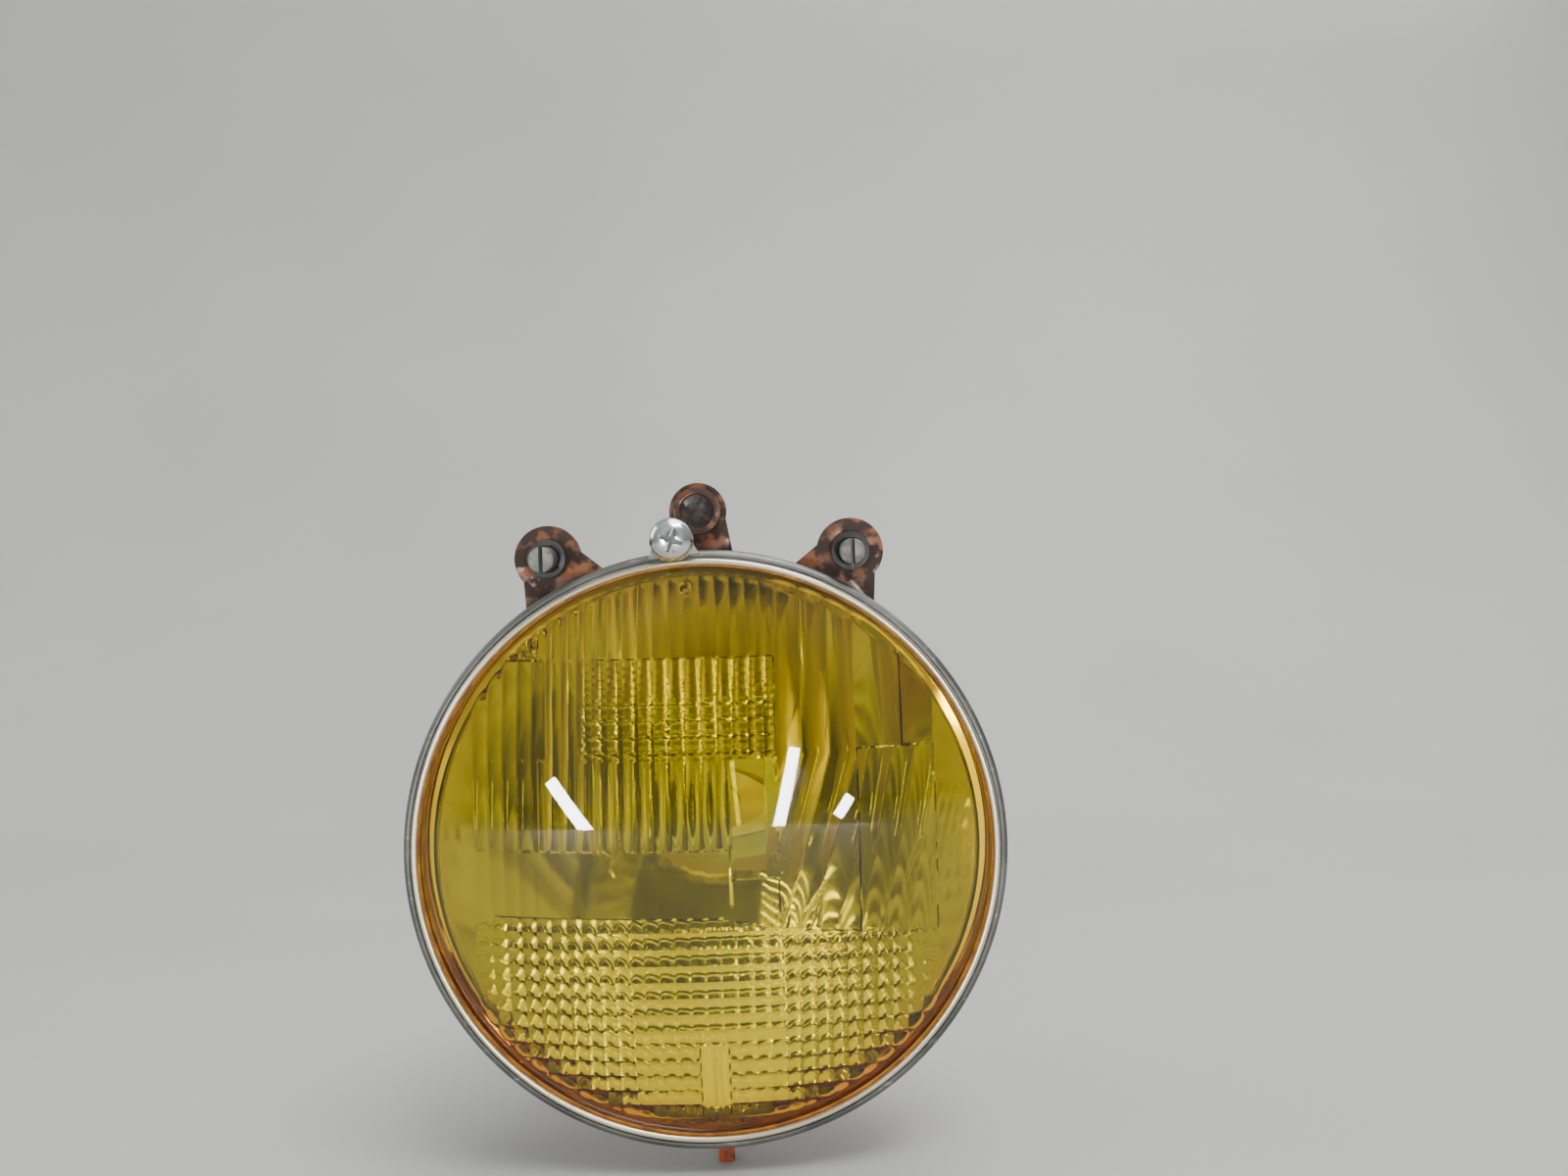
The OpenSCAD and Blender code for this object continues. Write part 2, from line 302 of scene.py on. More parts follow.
# %% [markdown]
# ## Sky and floor finish
# A mirror bowl shows whatever stands round it, so the sky matters as much as the lamps. It is
# brighter overhead and in front, with a darker patch straight ahead of the lamp: the bowl looks
# back at that patch through the plain parts of the lens, and the fluted parts look elsewhere.
# Seen directly, behind the floor's front edge, the sky is one plain pale tone.

# %% Sky and floor finish
def sky_strength(tree):
    """Brighter overhead and in front of the lamp, but dark straight ahead of it.

    Depth, side and height here are parts of a direction of length 1, so they go from -1 to 1.
    """
    place = tree.nodes.new("ShaderNodeTexCoord")
    split = tree.nodes.new("ShaderNodeSeparateXYZ")
    tree.links.new(place.outputs["Generated"], split.inputs[0])
    front = 0.0 - Wire(tree, split.outputs[1])
    up = Wire(tree, split.outputs[2])
    side = Wire(tree, split.outputs[0])
    toward = 0.05 * side + 0.97 * front + 0.20 * up
    ahead = toward.above(0.86, 0.965)
    mirrored = (0.3 + 0.4 * up.clamp() + 0.5 * front.clamp() ** 4) * (1 - 0.88 * ahead)
    seen = Wire(tree, tree.nodes.new("ShaderNodeLightPath").outputs["Is Camera Ray"])
    return mirrored * (1 - seen) + 0.5 * seen


sky = world.node_tree
sky.links.new(sky_strength(sky).socket, sky.nodes["Background"].inputs["Strength"])
paper = Finish("pale_floor", Roughness=0.7)
paper.set("Base Color", paper.blend(paper.noise(0.004, 2), (0.37, 0.37, 0.355),
                                    (0.42, 0.42, 0.405)))
floor.data.materials.append(paper.material)
print("sky nodes:", len(sky.nodes), "floor nodes:", len(paper.tree.nodes))

# %% [markdown]
# ## Making and handing over a piece
# Most of the lamp is turned or spun metal, so its pieces are bodies of revolution. A profile is
# drawn by extruding one vertex from point to point, and the Screw modifier carries it round the
# lamp's axis. That is quicker to correct than a stack of extruded rings, and it stays exact.
# `hand_over` then closes a piece: it smooths it, gives it its finishes, hides the CAD node it
# stands for, and lets it ride on that node's body.

# %% Helpers for turned pieces
DOUBLES_MM = 0.001    # points closer than this are one point


def clean(obj, merge_mm=DOUBLES_MM):
    """Merges doubles and turns every face outwards."""
    only(obj)
    bpy.ops.object.mode_set(mode="EDIT")
    bpy.ops.mesh.select_all(action="SELECT")
    bpy.ops.mesh.remove_doubles(threshold=merge_mm * MM)
    bpy.ops.mesh.normals_make_consistent(inside=False)
    bpy.ops.object.mode_set(mode="OBJECT")


def apply_all(obj):
    only(obj)
    for modifier in list(obj.modifiers):
        bpy.ops.object.modifier_apply(modifier=modifier.name)


def draw(name, points):
    """A chain of edges through points in mm, drawn by extruding one vertex.

    The piece is left in edit mode.
    """
    bpy.ops.object.select_all(action="DESELECT")
    bpy.ops.mesh.primitive_plane_add(size=0.001, location=(0, 0, 0))
    obj = bpy.context.active_object
    obj.name = name
    bpy.ops.object.mode_set(mode="EDIT")
    bpy.context.tool_settings.mesh_select_mode = (True, False, False)
    bpy.ops.mesh.select_all(action="SELECT")
    bpy.ops.mesh.merge(type="CENTER")
    places = [Vector(p) * MM for p in points]
    bpy.ops.transform.translate(value=places[0])
    for here, there in zip(places, places[1:]):
        bpy.ops.mesh.extrude_vertices_move(TRANSFORM_OT_translate={"value": there - here})
    return obj


def turned(name, profile, sides=128, closed=True, at=(0, 0)):
    """Turns a profile of (radius, depth) points in mm round the Y axis through at = (x, z)."""
    obj = draw(name, [(r, y, 0) for r, y in profile])
    if closed and profile[0][0] + profile[-1][0] > 0:
        pick("VERT", lambda v: len(v.link_edges) == 1)
        bpy.ops.mesh.edge_face_add()
    bpy.ops.object.mode_set(mode="OBJECT")
    screw = obj.modifiers.new("turn", "SCREW")
    screw.axis = "Y"
    screw.steps = screw.render_steps = sides
    screw.use_merge_vertices, screw.merge_threshold = True, DOUBLES_MM * MM
    apply_all(obj)
    obj.location = (at[0] * MM, 0, at[1] * MM)
    bpy.ops.object.transform_apply(location=True, rotation=True, scale=True)
    clean(obj)
    return obj


def mould(obj, move):
    """Moves every vertex to where move(x, y, z) says, in mm."""
    only(obj)
    bpy.ops.object.mode_set(mode="EDIT")
    mesh = bmesh.from_edit_mesh(obj.data)
    for v in mesh.verts:
        v.co = Vector(move(v.co.x / MM, v.co.y / MM, v.co.z / MM)) * MM
    bmesh.update_edit_mesh(obj.data)
    bpy.ops.object.mode_set(mode="OBJECT")


def hand_over(obj, node, *finishes, smooth=30):
    """Smooths a piece, gives it its finishes and lets it stand for a CAD node."""
    only(obj)
    bpy.ops.object.shade_smooth_by_angle(angle=math.radians(smooth))
    for finish in finishes:
        obj.data.materials.append(finish.material)
    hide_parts(node)
    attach(obj, NODES[node]["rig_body"])
    check = bmesh.new()
    check.from_mesh(obj.data)
    gaps = sum(1 for edge in check.edges if not edge.is_manifold)
    print(f"{obj.name}: {len(check.calc_loop_triangles())} triangles, {gaps} open edges")
    check.free()
    return obj


print("turning helpers ready")

# %% [markdown]
# ## The lens: glass
# Selective yellow glass is coloured all through, so light that crosses it twice comes back a deeper
# olive. The shader is real glass: full transmission with a yellow base colour. Towards the edge an
# orange glow is painted into that colour, strongest low down: a painted glow that stands in for the
# bedding compound seen through the glass. Only a faint dust film changes the roughness, or the
# flutes would lose their sparkle.

# %% Lens glass
lens_glass = Finish("lens_glass", Transmission_Weight=1.0, IOR=1.5, Specular_IOR_Level=0.24)
film = lens_glass.noise(0.06, 4)
lens_glass.set("Base Color", lens_glass.blend(film, (0.97, 0.83, 0.004), (0.99, 0.88, 0.008)))
_, _, height = lens_glass.split(lens_glass.place())
# painted glow: the glass's colour turns orange near its edge, standing in for the compound seen
# through it, and is painted strongest low down
painted_edge_glow = lens_glass.radius().above(72, 85)
low = 0.35 + 0.65 * (1 - height.above(-60, -20))
lens_glass.over(painted_edge_glow * low, (0.95, 0.52, 0.004))
lens_glass.set("Roughness", 0.015 + 0.05 * film.above(0.5, 0.75))
print("lens glass ready")

# %% [markdown]
# ## The lens: moulded pattern
# The smooth outer dome hides a pattern pressed into its back. Upright flutes spread the light
# sideways, a grid of small prisms spreads it under the cut-off line, and the cut-off itself drops
# away on the lamp's right. No set of extrusions can draw this, so a fine grid of quads is laid
# out at half a millimetre, and one function says how far the glass swells at each place.

# %% Flutes and prisms
def flute(u, pitch, height):
    """The swell of one row of cylinder lenses, with sharp valleys between them, all in mm."""
    t = (u / pitch) % 1
    return height * 4 * t * (1 - t)


def cut_off(x):
    """The height of the line where the flutes end and the prism grid begins."""
    return -15.8 - (0 if x < 4 else 0.27 * (min(x, 18.6) - 4)) - 0.092 * max(0, x - 18.6)


PITCH = 4.5        # width of the common flutes and prisms, mm
PRISM_ROW = 5      # height of the prisms below the cut-off, mm
BEAD_ROW = 2.25    # height of the beads between the flutes, mm
PATTERN_R = 83     # radius at which the pattern ends, mm


def upper_pattern(x, z):
    """The flutes above the cut-off: straight, beaded, slanted or wide, by where they stand."""
    if x > 45:
        if z > 31:
            return 0.35 + flute(x - 45, 13, 1.1) if x < 58 else 1.2 - 0.12 * (x - 58)
        return 0.9 - 0.035 * (x - 45) + flute(x - 0.2 * z, 7, 0.42)
    if x > 21:
        lean = 0.3 * (z - 30) if z < 30 else 0
        return flute(x - 21 - lean, 8, 0.55)
    if z > 58:
        if x < -48:
            return flute(x, PITCH, 0.5) + flute(z, PRISM_ROW, 0.4) if x > -58 and z < 67 else 0.1
        return flute(x, PITCH, 0.45 if x < -30 else 0.13)
    if z > 30:
        beads = flute(z, BEAD_ROW, 0.34 if z < 47 else 0.14) if x > -35 else 0
        return flute(x, PITCH, 0.6 if x > -46 else 0.25) + beads
    if x < -48:
        return flute(x, PITCH, 0.28 if z > 4 else 0.08)
    if x > 8 and z > -5:
        return 0.3 + flute(x - 8, 10, 0.22)
    return flute(x, PITCH, 0.6) if z > 4 else flute(x, PITCH, 0.03)


def lower_pattern(x, z):
    """The prisms below the cut-off, deepest at the two sides, and a few fine flutes at the foot."""
    if -3.5 < x < 5.5 and z < -55:
        return flute(x + 3.5, BEAD_ROW, 0.3)
    if abs(x) < 22:
        return flute(z, PRISM_ROW, 0.42) + flute(x, PITCH, 0.3 if z > -54 else 0.4)
    near = 1 - min(1, max(0, (abs(x) - 54) / 14))
    return flute(x, PITCH, 0.1 + 0.4 * near) + flute(z, PRISM_ROW, 0.1 + 0.46 * near)


def relief(x, z):
    """How far the back of the lens swells inwards at a place, mm."""
    r = math.hypot(x, z)
    if abs(x) > 68 or r > PATTERN_R:
        return 0.0
    swell = upper_pattern(x, z) if z > cut_off(x) else lower_pattern(x, z)
    if abs(x - 7.5) < 0.3 and -13 < z < 5:           # the thin rib at the middle
        swell += 0.35
    swell -= 1.6 * max(0, 1 - math.hypot(x + 4, z - 78) / 1.6)   # a moulding pit near the top
    return swell * min(1, (PATTERN_R - r) / 2.5)     # the pattern fades out at its edge


print("swell of a flute:", round(relief(-20, 50), 2), "mm, of a prism:",
      round(relief(-40, -50), 2), "mm")


# %% [markdown]
# ## The lens: body
# The patterned back is a round grid and the smooth front is a turned dome with a flange, and both
# have to meet without a gap. So the grid's square corners are cut away, its ragged edge is pulled
# onto a circle, and the two open edges are bridged. That is safer than a boolean on fine relief.

# %% Lens
DOME_R, DOME_Y = 212.805, 186.805   # the outer dome's radius and the depth of its centre
LENS_WALL, GRID = 3.5, 0.5
INNER_R, LENS_R, EDGE_R = 84.8, 85.2, 87    # the dome's back, its front and the flange
EDGE_FRONT, EDGE_BACK = -7.2, -3            # depths of the flange's two faces


def dome(r, wall=0.0):
    """Depth of the dome at a radius, or of its back when the wall's thickness is given."""
    return DOME_Y - math.sqrt((DOME_R - wall) ** 2 - r * r)


cells = 2 * round((INNER_R + 1) / GRID)
bpy.ops.object.select_all(action="DESELECT")
bpy.ops.mesh.primitive_grid_add(x_subdivisions=cells, y_subdivisions=cells,
                                size=cells * GRID * MM, rotation=(math.pi / 2, 0, 0))
lens = bpy.context.active_object
bpy.ops.object.transform_apply(rotation=True)
bpy.ops.object.mode_set(mode="EDIT")


def off_axis(v):
    return math.hypot(v.co.x, v.co.z) / MM


pick("FACE", lambda f: math.hypot(*f.calc_center_median().xz) > (INNER_R - 0.1) * MM)
bpy.ops.mesh.delete(type="FACE")
mesh = bmesh.from_edit_mesh(lens.data)
for vert in [v for v in mesh.verts if not v.link_faces]:
    mesh.verts.remove(vert)
for vert in mesh.verts:
    if any(edge.is_boundary for edge in vert.link_edges):
        vert.co *= INNER_R / off_axis(vert)
bmesh.update_edit_mesh(lens.data)
bpy.ops.object.mode_set(mode="OBJECT")
mould(lens, lambda x, y, z:
      (x, dome(min(INNER_R, math.hypot(x, z)), LENS_WALL) + relief(x, z), z))

front = [(LENS_R * i / 18, dome(LENS_R * i / 18)) for i in range(18, -1, -1)]
shell = turned("shell", [(INNER_R, dome(INNER_R, LENS_WALL) + 0.3), (INNER_R, EDGE_BACK),
                         (EDGE_R, EDGE_BACK), (EDGE_R, EDGE_FRONT), (LENS_R, EDGE_FRONT)] + front,
               sides=256, closed=False)
only(lens)
shell.select_set(True)
bpy.ops.object.join()
lens.name = "lens_pressed"
bpy.ops.object.mode_set(mode="EDIT")
pick("EDGE", lambda e: e.is_boundary)
bpy.ops.mesh.bridge_edge_loops()
bpy.ops.object.mode_set(mode="OBJECT")
clean(lens)
hand_over(lens, "lens", lens_glass, smooth=28)

# %% [markdown]
# ## The reflector bowl
# The bowl is one spun steel shell with two very different sides: a vacuum-plated mirror inside
# and a glossy amber lacquer outside that has darkened unevenly. It is turned as one closed wall,
# and its inner faces are then given the mirror's material slot by the way they face.

# %% Bowl finishes
lacquer = Finish("bowl_lacquer", Metallic=0.0, IOR=1.5, Coat_Roughness=0.06)
broad = lacquer.noise(0.022, 3)
streak = lacquer.noise(0.12, 4, scale=(1, 0.16, 1))
tone = lacquer.blend(broad.above(0.38, 0.64), (0.13, 0.050, 0.008), (0.20, 0.095, 0.012))
tone = lacquer.blend(streak.above(0.52, 0.72) * 0.45, tone, (0.15, 0.085, 0.016))
lacquer.set("Base Color", tone)
lacquer.set("Roughness", 0.22 + 0.22 * streak)
lacquer.set("Coat Weight", 0.5 + 0.4 * broad)
lacquer.bump(lacquer.noise(0.09, 3), 0.16, 0.5)

mirror = Finish("bowl_mirror", Metallic=1.0)
haze = mirror.noise(0.05, 4)
mirror.set("Base Color", mirror.blend(haze, (0.86, 0.85, 0.80), (0.94, 0.93, 0.90)))
mirror.set("Roughness", 0.03 + 0.07 * haze.above(0.45, 0.75))
print("bowl finishes ready")

# %% Bowl
MOUTH_R, FOCAL, MOUTH_Y, BOWL_END, WALL = 82, 20, 4, 80, 1.2
FLANGE_R = 88.6


def bowl_r(y):
    """Inside radius of the paraboloid at a depth."""
    return math.sqrt(MOUTH_R ** 2 - 4 * FOCAL * (y - MOUTH_Y))


steps = [MOUTH_Y + (BOWL_END - MOUTH_Y) * i / 48 for i in range(49)]
outside = [(bowl_r(y) + WALL, y) for y in steps]
inside = [(bowl_r(y), y) for y in reversed(steps)]
bowl = turned("bowl_shell", [(MOUTH_R, -1), (FLANGE_R - 0.3, -1), (FLANGE_R, -0.7),
                             (FLANGE_R, -0.3), (FLANGE_R - 0.3, 0), (MOUTH_R + WALL + 0.8, 0),
                             (MOUTH_R + WALL + 0.2, 0.25), (MOUTH_R + WALL, 0.9)] +
              outside + inside, 192)
hand_over(bowl, "reflector_bowl", lacquer, mirror)
for face in bowl.data.polygons:
    middle, normal = face.center, face.normal
    if middle.x * normal.x + middle.z * normal.z < 0 or (normal.y < -0.5 and middle.y < -0.0009):
        face.material_index = 1
print("mirror faces:", sum(f.material_index for f in bowl.data.polygons))

# %% [markdown]
# ## Drawing flat pieces, cutting and rounding
# Stamped pieces start as an outline in the lamp's face plane, filled and extruded to the sheet's
# thickness. A boolean cuts slots and holes. Sheet and cast edges are never sharp, so flat pieces
# get a narrow bevel; it catches a thin line of light that tells the eye it is metal.

# %% Helpers for flat and bent pieces
def slab(name, outline, start, thick, across="Y"):
    """A plate in mm: outline is (x, z) pairs from depth start, or (y, z) pairs across X."""
    lift = (0, thick * MM, 0) if across == "Y" else (thick * MM, 0, 0)
    obj = draw(name, [(a, start, b) if across == "Y" else (start, a, b) for a, b in outline])
    bpy.ops.mesh.select_all(action="SELECT")
    bpy.ops.mesh.edge_face_add()
    bpy.ops.mesh.extrude_region_move(TRANSFORM_OT_translate={"value": lift})
    bpy.ops.object.mode_set(mode="OBJECT")
    clean(obj)
    return obj


def disc(radius, x=0.0, z=0.0, count=48, turn=0.0):
    """The outline of a circle, or of a polygon with few corners."""
    steps = [turn + math.tau * i / count for i in range(count)]
    return [(x + radius * math.cos(a), z + radius * math.sin(a)) for a in steps]


def combine(obj, other, how):
    """Cuts, joins or keeps the common part of two pieces; the other piece is used up."""
    modifier = obj.modifiers.new(how, "BOOLEAN")
    modifier.operation, modifier.object, modifier.solver = how, other, "EXACT"
    apply_all(obj)
    bpy.data.objects.remove(other)


def round_edges(obj, width_mm, angle=40, segments=2):
    modifier = obj.modifiers.new("edges", "BEVEL")
    modifier.width, modifier.segments = width_mm * MM, segments
    modifier.limit_method, modifier.angle_limit = "ANGLE", math.radians(angle)
    apply_all(obj)


def stamped(node, width_mm, *finishes, angle=40):
    """A copy of a CAD piece, merged into a clean mesh, with its edges rounded."""
    only(NODES[node])
    bpy.ops.object.duplicate()
    obj = bpy.context.active_object
    obj.name = node + "_stamped"
    obj.parent = None
    obj.data.materials.clear()
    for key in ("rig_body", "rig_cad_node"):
        del obj[key]
    clean(obj, 0.002)
    bpy.ops.object.mode_set(mode="EDIT")
    bpy.ops.mesh.select_all(action="SELECT")
    bpy.ops.mesh.dissolve_limited(angle_limit=math.radians(1))
    bpy.ops.object.mode_set(mode="OBJECT")
    round_edges(obj, width_mm, angle)
    clean(obj, 0.002)
    return hand_over(obj, node, *finishes)


print("flat and bent piece helpers ready")

# %% [markdown]
# ## The rim
# The rim is a band of plated steel pressed round the lens: a flat skirt, a soft shoulder and a
# rolled bead that touches the glass. The plating has gone dull and grey on the skirt, and the bead
# is painted bright, almost cream: a painted highlight along the rolled bead. The difference follows
# the radius, so the finish measures its distance from the lamp's axis. The lug for the screw is a
# small plate joined to the front.

# %% Rim finish
def steel(name, dark, light, rough, span, grain=0.25, wear=0.5):
    """Plated steel with cloudy tone, fine grain and dull spots."""
    finish = Finish(name, Metallic=1.0)
    cloud = finish.noise(0.07, 4)
    fine = finish.noise(grain, 5)
    spots = finish.noise(0.35, 2).above(0.64, 0.72) * wear
    tone = finish.blend(cloud.above(0.35, 0.65), dark, light)
    finish.set("Base Color", finish.blend(spots, tone, tuple(0.35 * c for c in dark)))
    finish.set("Roughness", (rough + span * fine + 0.2 * spots).clamp())
    finish.bump(fine, 0.12, 0.05)
    return finish


rim_steel = Finish("rim_steel", Metallic=1.0)
bead_highlight = 1 - rim_steel.radius().above(87.3, 87.6)
dull = rim_steel.noise(0.05, 5, scale=(1, 2.5, 1))
scratch = rim_steel.noise(0.5, 6, scale=(0.25, 3, 1)).above(0.6, 0.7)
skirt = rim_steel.blend(dull.above(0.35, 0.7), (0.11, 0.115, 0.105), (0.21, 0.21, 0.19))
skirt = rim_steel.blend(scratch * 0.5, skirt, (0.48, 0.47, 0.43))
rust = rim_steel.noise(0.11, 5).above(0.64, 0.7) * (1 - bead_highlight) * 0.7
skirt = rim_steel.blend(rust, skirt, (0.20, 0.12, 0.06))
# painted highlight: the rolled bead is painted bright cream over the dull skirt
rim_steel.set("Base Color", rim_steel.blend(bead_highlight, skirt, (0.70, 0.63, 0.49)))
rim_steel.set("Roughness", 0.42 - 0.2 * bead_highlight + 0.15 * dull + 0.15 * rust)
rim_steel.set("Metallic", 1 - 0.6 * rust)
rim_steel.bump(scratch + 2 * rust, 0.2, 0.04)
print("rim finish ready")

# %% Rim
def arc(cr, cy, r, start, end, count):
    """Points of an arc in a profile, angles in degrees."""
    steps = [math.radians(start + (end - start) * i / count) for i in range(count + 1)]
    return [(cr + r * math.cos(a), cy + r * math.sin(a)) for a in steps]


RIM_R, RIM_DEPTH = 90, 8.4
SCREW = (-7.3, 93.2)   # x and z of the retaining screw, mm
rim = turned("rim_band", [(85.9, -RIM_DEPTH)] + arc(86.6, -9.5, 0.9, 180, 350, 14) +
             [(87.55, -9.1), (87.75, -9.1), (87.9, -9.5)] +
             arc(RIM_R - 1.9, -7.9, 1.9, 275, 360, 12) +
             [(RIM_R, -0.4), (RIM_R - 0.15, -0.1), (RIM_R - 0.5, 0), (88.7, 0),
              (88.7, -RIM_DEPTH)], 192)
lug = slab("lug", disc(5.8, *SCREW), -11.4, 2.2)
tongue = slab("tongue", [(-14.5, 87.6), (-13, 92), (-1.6, 92.6), (0.6, 89)], -10.6, 1.6)
combine(lug, tongue, "UNION")
combine(lug, slab("bore", disc(2.7, *SCREW), -14, 12), "DIFFERENCE")
round_edges(lug, 0.3)
combine(rim, lug, "UNION")
clean(rim)
hand_over(rim, "rim", rim_steel)

# %% [markdown]
# ## The seal
# The glass is bedded in an orange-brown sealing compound. It shows as a thin ring at the lens's
# edge and, through the glass, as a warm band. Hand-laid compound is uneven, so the ring is
# turned and its visible front edge is then moved in and out a little all the way round.

# %% Seal
seal_compound = Finish("seal_compound", Specular_IOR_Level=0.35)
lump = seal_compound.noise(0.2, 4)
seal_compound.set("Base Color", seal_compound.blend(lump.above(0.35, 0.65), (0.17, 0.05, 0.006),
                                                    (0.38, 0.14, 0.015)))
seal_compound.set("Roughness", 0.45 + 0.3 * lump)
seal_compound.bump(lump, 0.4, 0.3)
SEAL_FRONT = -RIM_DEPTH + 0.02
WET = 0.05             # how far the compound wets into the glass's edge, so no air shows between
seal = turned("seal_ring", [(LENS_R - WET, SEAL_FRONT), (FLANGE_R, SEAL_FRONT), (FLANGE_R, -1),
                            (INNER_R, -1), (INNER_R, EDGE_BACK - WET),
                            (EDGE_R - WET, EDGE_BACK - WET), (EDGE_R - WET, EDGE_FRONT + WET),
                            (LENS_R - WET, EDGE_FRONT + WET)], 256)


def uneven(x, y, z):
    """Lets the ring's visible front face sink by up to a fifth of a millimetre."""
    if y > SEAL_FRONT + 0.01 or math.hypot(x, z) > LENS_R + 1:
        return x, y, z
    a = math.atan2(z, x)
    return x, y + 0.1 * (1 + math.sin(23 * a + 2 * math.sin(5 * a))), z


mould(seal, uneven)
hand_over(seal, "lens_seal", seal_compound)

# %% [markdown]
# ## The collar and the boot seat
# A spun zinc-plated collar closes the back of the bowl and carries the bulb. Its passivated
# plating is greenish grey and takes a soft broad highlight. The ring with two tabs keeps a rubber
# boot in place. The collar is turned with a rolled lip, and the ring is a softened stamping.

# %% Collar
collar_zinc = steel("collar_zinc", (0.25, 0.30, 0.22), (0.40, 0.45, 0.35), 0.26, 0.2, wear=0.3)
COLLAR_R, FACE_Y, BACK_Y = 43, 81.2, 82.2
SHOULDER = 11.6    # radius of the collar's rounded shoulder
collar = turned("collar_spun", [(COLLAR_R - 1, 67.9), (COLLAR_R - 0.7, 67.6),
                                (COLLAR_R - 0.2, 67.65), (COLLAR_R, 68)] +
                arc(COLLAR_R - SHOULDER, BACK_Y - SHOULDER, SHOULDER, 0, 88, 22) +
                [(30.6, BACK_Y), (30.2, BACK_Y - 0.35), (29.2, BACK_Y - 0.35), (28.8, BACK_Y),
                 (24.3, BACK_Y), (24, BACK_Y - 0.3), (24, FACE_Y)] +
                arc(COLLAR_R - SHOULDER, BACK_Y - SHOULDER, SHOULDER - 1, 90, 0, 22), 160)
hand_over(collar, "bulb_collar", collar_zinc)
stamped("boot_seat", 0.18, collar_zinc)
stamped("bulb_seat", 0.15, collar_zinc)
stamped("clip_hinge", 0.2, collar_zinc)
stamped("clip_latches", 0.15, collar_zinc)

# %% [markdown]
# ## Ears, boss, clips and hook
# These small stampings were dipped in the same amber lacquer as the bowl, but years of handling
# have rubbed it through to dark rust and bare metal. Three noises at different sizes lay the
# lacquer, the rust and the scraped patches over one another.

# %% Worn finishes
def worn(name, paint, deep, rust_colour, bare, rust_from, bare_from):
    """Old paint over rust, with scraped bare patches; the last two say how rare each one is."""
    finish = Finish(name, Coat_Roughness=0.15)
    mottled = finish.noise(0.12, 4)
    rusted = finish.noise(0.16, 6).above(rust_from, rust_from + 0.1)
    scraped = finish.noise(0.3, 5, scale=(1, 1, 0.6)).above(bare_from, bare_from + 0.04)
    tone = finish.blend(mottled.above(0.35, 0.65), deep, paint)
    tone = finish.blend(rusted, tone, rust_colour)
    finish.set("Base Color", finish.blend(scraped, tone, bare))
    finish.set("Metallic", scraped * 0.9)
    finish.set("Roughness", (0.36 + 0.35 * rusted + 0.1 * mottled).clamp())
    finish.set("Coat Weight", 0.2 * (1 - rusted) * (1 - scraped))
    finish.bump(rusted * 0.7 + 0.3 * mottled - scraped * 0.5, 0.35, 0.15)
    return finish


ear_lacquer = worn("ear_lacquer", (0.22, 0.060, 0.004), (0.07, 0.017, 0.002), (0.022, 0.008, 0.003),
                   (0.30, 0.26, 0.20), 0.42, 0.72)
boss_lacquer = worn("boss_lacquer", (0.15, 0.045, 0.004), (0.06, 0.018, 0.003),
                    (0.03, 0.012, 0.006), (0.28, 0.22, 0.14), 0.44, 0.72)
hook_red = worn("red_oxide_paint", (0.30, 0.045, 0.008), (0.16, 0.024, 0.006), (0.05, 0.012, 0.005),
                (0.4, 0.35, 0.3), 0.58, 0.74)

PIVOT_Z = 101.5   # height of the boss, mm; its front recess is painted near black, a painted shade
# painted shade: the boss's front recess is painted near black, with a little mottling
recess = 1 - boss_lacquer.radius(centre=(0, 0, PIVOT_Z * MM)).above(4.3, 5.0)
painted_recess_shade = boss_lacquer.blend(boss_lacquer.noise(0.3, 4).above(0.5, 0.62), (0.006, 0.003, 0.002),
                           (0.035, 0.02, 0.008))
boss_lacquer.over(recess, painted_recess_shade)
clip_steel = steel("clip_steel", (0.42, 0.42, 0.38), (0.66, 0.66, 0.60), 0.28, 0.2)
for node in ("ear_left", "ear_right", "pivot_ear"):
    stamped(node, 0.35, ear_lacquer)
stamped("pivot_boss", 0.4, boss_lacquer)
stamped("rim_clips", 0.15, clip_steel)
stamped("lower_hook", 0.25, hook_red)

# %% [markdown]
# ## Aiming screws
# Two black nylon screws set the beam's direction. Nylon is dull black, dusted grey where nobody
# wipes it and scuffed where a tool has touched it. Each of those is one noise of its own size.

# %% Nylon
def nylon(name, tone):
    finish = Finish(name, Specular_IOR_Level=0.45)
    scuff = finish.noise(0.4, 5)
    dust = finish.noise(0.09, 3)
    base = finish.blend(dust.above(0.45, 0.75) * 0.6, tone, (0.055, 0.05, 0.045))
    finish.set("Base Color", finish.blend(scuff.above(0.62, 0.7) * 0.5, base, (0.13, 0.125, 0.11)))
    finish.set("Roughness", 0.32 + 0.3 * scuff)
    finish.bump(scuff, 0.2, 0.08)
    return finish


black_nylon = nylon("black_nylon", (0.012, 0.012, 0.013))
screw_nylon = nylon("screw_nylon", (0.017, 0.017, 0.018))

END_GREY_HIGHLIGHT = (0.17, 0.17, 0.14)   # the slotted ends are painted light grey: partly their own grey, partly a painted highlight on the front faces
_, depth, _ = screw_nylon.split(screw_nylon.place())
# painted highlight: the front end faces are painted light grey over most of their area
end_grey_highlight = (1 - depth.above(-12.6, -11.5)) * screw_nylon.noise(0.35, 4).above(0.25, 0.6)
screw_nylon.over(end_grey_highlight, END_GREY_HIGHLIGHT)
print("nylon ready")

# %% [markdown]
# ## Threads
# Each aiming screw has a slotted end, a waist and a coarse rounded thread. A thread is a radius
# that depends on both angle and depth, so a finely ringed shaft is turned first and its vertices
# are then drawn in along a helix, which is cleaner than a thread cut with a boolean. Only the
# slot is cut. The blind bore for the foot is part of the turned profile.

# %% Threads and aiming screws


